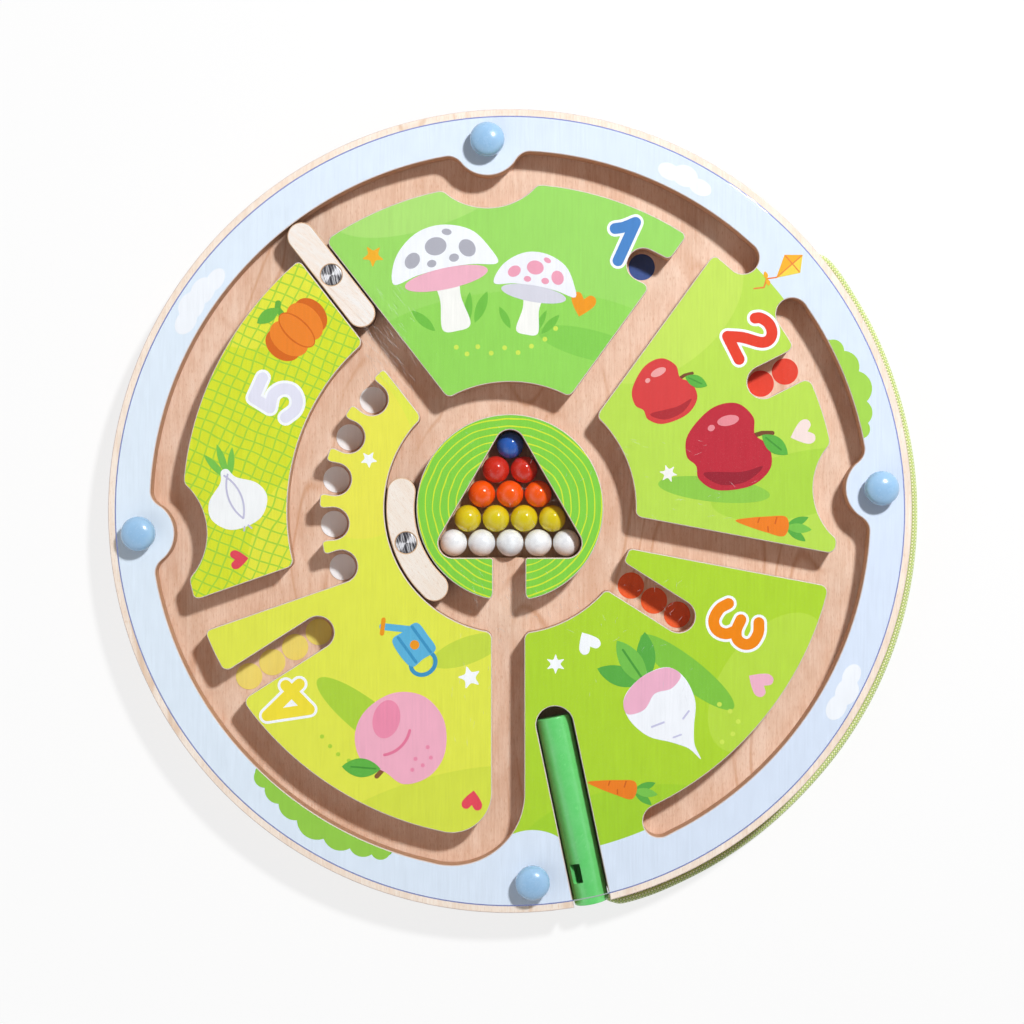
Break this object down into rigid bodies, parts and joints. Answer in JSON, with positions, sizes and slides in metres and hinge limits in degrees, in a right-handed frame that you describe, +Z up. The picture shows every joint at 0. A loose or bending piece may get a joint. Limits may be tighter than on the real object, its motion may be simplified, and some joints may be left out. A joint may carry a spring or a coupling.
{
  "type": "magnetic maze board",
  "caption": "Round wooden ball maze under a clear cover: a magnetic wand kept in a rim slot drags coloured steel balls along printed lanes past sliding gates.",
  "frame": {"origin": "middle of the board's underside", "axes": "+Z up through the board; +Y towards the board's top as held, the wand's slot lying near -Y; +X to the right"},
  "size_m": [0.3056, 0.3, 0.0274],
  "materials": {
    "birch_plywood": "light birch plywood, sanded and clear lacquered",
    "pale_plywood": "pale birch with scorched cut edges",
    "sky_print": "plywood printed pale blue on its top face",
    "grass_print": "plywood printed grass green on its top face",
    "lime_print": "plywood printed lime green on its top face",
    "hub_print": "plywood printed green with thin yellow rings",
    "clear_acrylic": "clear polished acrylic sheet",
    "cap_plastic": "light blue moulded plastic",
    "wand_plastic": "green moulded plastic",
    "steel": "bright steel",
    "magnet": "sintered ferrite magnet",
    "cord": "green and white braided polyester cord",
    "blue_paint": "gloss paint on steel",
    "red_paint": "gloss paint on steel",
    "orange_paint": "gloss paint on steel",
    "yellow_paint": "gloss paint on steel",
    "white_paint": "gloss paint on steel"
  },
  "bodies": {
    "board": {"back_board": "birch_plywood", "floor_board": "birch_plywood", "frame_plate": "sky_print", "island_one": "grass_print", "island_four": "lime_print", "island_five": "lime_print", "centre_island": "hub_print", "cover": "clear_acrylic", "cord": "cord", "board_knot": "cord", "cover_screw_1": "steel", "screw_cap_1": "cap_plastic", "cover_screw_2": "steel", "screw_cap_2": "cap_plastic", "cover_screw_3": "steel", "screw_cap_3": "cap_plastic", "cover_screw_4": "steel", "screw_cap_4": "cap_plastic"},
    "blue_ball_1": {"blue_ball_1": "blue_paint"},
    "red_ball_1": {"red_ball_1": "red_paint"},
    "red_ball_2": {"red_ball_2": "red_paint"},
    "orange_ball_1": {"orange_ball_1": "orange_paint"},
    "orange_ball_2": {"orange_ball_2": "orange_paint"},
    "orange_ball_3": {"orange_ball_3": "orange_paint"},
    "yellow_ball_1": {"yellow_ball_1": "yellow_paint"},
    "yellow_ball_2": {"yellow_ball_2": "yellow_paint"},
    "yellow_ball_3": {"yellow_ball_3": "yellow_paint"},
    "yellow_ball_4": {"yellow_ball_4": "yellow_paint"},
    "white_ball_1": {"white_ball_1": "white_paint"},
    "white_ball_2": {"white_ball_2": "white_paint"},
    "white_ball_3": {"white_ball_3": "white_paint"},
    "white_ball_4": {"white_ball_4": "white_paint"},
    "white_ball_5": {"white_ball_5": "white_paint"},
    "straight_gate": {"straight_gate": "pale_plywood", "straight_gate_slug": "steel"},
    "curved_gate": {"curved_gate": "pale_plywood", "curved_gate_slug": "steel"},
    "wand": {"wand_body": "wand_plastic", "wand_magnet": "magnet", "wand_plug": "wand_plastic", "wand_knot": "cord"}
  },
  "joints": [
    {"name": "blue_ball_1_lift", "type": "slide", "parent": "board", "child": "blue_ball_1", "axis": [0, 0, 1], "range_m": [0, 0.004]},
    {"name": "red_ball_1_lift", "type": "slide", "parent": "board", "child": "red_ball_1", "axis": [0, 0, 1], "range_m": [0, 0.004]},
    {"name": "red_ball_2_lift", "type": "slide", "parent": "board", "child": "red_ball_2", "axis": [0, 0, 1], "range_m": [0, 0.004]},
    {"name": "orange_ball_1_lift", "type": "slide", "parent": "board", "child": "orange_ball_1", "axis": [0, 0, 1], "range_m": [0, 0.004]},
    {"name": "orange_ball_2_lift", "type": "slide", "parent": "board", "child": "orange_ball_2", "axis": [0, 0, 1], "range_m": [0, 0.004]},
    {"name": "orange_ball_3_lift", "type": "slide", "parent": "board", "child": "orange_ball_3", "axis": [0, 0, 1], "range_m": [0, 0.004]},
    {"name": "yellow_ball_1_lift", "type": "slide", "parent": "board", "child": "yellow_ball_1", "axis": [0, 0, 1], "range_m": [0, 0.004]},
    {"name": "yellow_ball_2_lift", "type": "slide", "parent": "board", "child": "yellow_ball_2", "axis": [0, 0, 1], "range_m": [0, 0.004]},
    {"name": "yellow_ball_3_lift", "type": "slide", "parent": "board", "child": "yellow_ball_3", "axis": [0, 0, 1], "range_m": [0, 0.004]},
    {"name": "yellow_ball_4_lift", "type": "slide", "parent": "board", "child": "yellow_ball_4", "axis": [0, 0, 1], "range_m": [0, 0.004]},
    {"name": "white_ball_1_lift", "type": "slide", "parent": "board", "child": "white_ball_1", "axis": [0, 0, 1], "range_m": [0, 0.004]},
    {"name": "white_ball_2_lift", "type": "slide", "parent": "board", "child": "white_ball_2", "axis": [0, 0, 1], "range_m": [0, 0.004]},
    {"name": "white_ball_3_lift", "type": "slide", "parent": "board", "child": "white_ball_3", "axis": [0, 0, 1], "range_m": [0, 0.004]},
    {"name": "white_ball_4_lift", "type": "slide", "parent": "board", "child": "white_ball_4", "axis": [0, 0, 1], "range_m": [0, 0.004]},
    {"name": "white_ball_5_lift", "type": "slide", "parent": "board", "child": "white_ball_5", "axis": [0, 0, 1], "range_m": [0, 0.004]},
    {"name": "straight_gate_slide", "type": "slide", "parent": "board", "child": "straight_gate", "axis": [0.6143, -0.7891, 0], "range_m": [0, 0.039]},
    {"name": "curved_gate_turn", "type": "hinge", "parent": "board", "child": "curved_gate", "pos_m": [0, 0.0012, 0.0128], "axis": [0, 0, 1], "continuous": true},
    {"name": "wand_slide", "type": "slide", "parent": "board", "child": "wand", "axis": [0.2053, -0.9787, 0], "range_m": [0, 0.078]}
  ]
}
